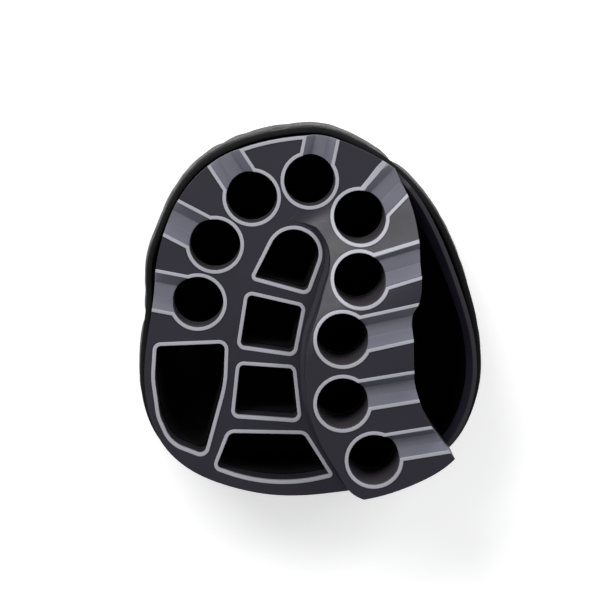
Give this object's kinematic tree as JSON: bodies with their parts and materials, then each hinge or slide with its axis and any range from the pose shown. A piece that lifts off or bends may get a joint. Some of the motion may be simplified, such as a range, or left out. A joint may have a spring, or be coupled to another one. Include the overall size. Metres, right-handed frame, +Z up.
{
  "type": "rack organizer",
  "caption": "Free-standing organizer rack: a dark deck of round wells with open troughs, shaped bins, a raised ramp and a deep side well, in a black padded sleeve.",
  "frame": {"origin": "on the floor under the middle of the padded sleeve", "axes": "+Z up and out of the wells, +Y toward the rear edge that the first four troughs open to, +X toward the side well"},
  "size_m": [0.2546, 0.2748, 0.1226],
  "materials": {
    "dark_grey_plastic": "moulded, satin, fine grain",
    "light_grey_plastic": "moulded, satin",
    "well_grey_plastic": "moulded, matt",
    "black_plastic": "moulded, matt",
    "screw_steel": "zinc plated",
    "black_rubber": "matt",
    "black_leatherette": "leather-look vinyl over foam",
    "black_binding": "woven edge binding",
    "black_lining": "flocked lining"
  },
  "bodies": {
    "root": {"lower_deck": "dark_grey_plastic", "ramp_deck": "dark_grey_plastic", "side_rim": "dark_grey_plastic", "body_shell_left": "dark_grey_plastic", "body_shell_right": "dark_grey_plastic", "deck_edge_trim": "light_grey_plastic", "side_well_cup": "black_plastic", "base_plate": "black_plastic", "deck_posts": "black_plastic", "base_screws": "screw_steel", "ramp_screws": "screw_steel", "rubber_feet": "black_rubber", "padded_sleeve": "black_leatherette", "sleeve_top_binding": "black_binding", "sleeve_bottom_binding": "black_binding", "keyhole_liner_1": "light_grey_plastic", "well_tube_1": "well_grey_plastic", "keyhole_liner_2": "light_grey_plastic", "well_tube_2": "well_grey_plastic", "keyhole_liner_3": "light_grey_plastic", "well_tube_3": "well_grey_plastic", "keyhole_liner_4": "light_grey_plastic", "well_tube_4": "well_grey_plastic", "keyhole_liner_5": "light_grey_plastic", "well_tube_5": "well_grey_plastic", "keyhole_liner_6": "light_grey_plastic", "well_tube_6": "well_grey_plastic", "keyhole_liner_7": "light_grey_plastic", "well_tube_7": "well_grey_plastic", "keyhole_liner_8": "light_grey_plastic", "well_tube_8": "well_grey_plastic", "keyhole_liner_9": "light_grey_plastic", "well_tube_9": "well_grey_plastic", "toe_bin_rim": "light_grey_plastic", "toe_bin_cup": "well_grey_plastic", "toe_bin_lining": "black_lining", "upper_bin_rim": "light_grey_plastic", "upper_bin_cup": "well_grey_plastic", "upper_bin_lining": "black_lining", "lower_bin_rim": "light_grey_plastic", "lower_bin_cup": "well_grey_plastic", "lower_bin_lining": "black_lining", "left_bin_rim": "light_grey_plastic", "left_bin_cup": "well_grey_plastic", "left_bin_lining": "black_lining", "heel_bin_rim": "light_grey_plastic", "heel_bin_cup": "well_grey_plastic", "heel_bin_lining": "black_lining"}
  },
  "joints": []
}
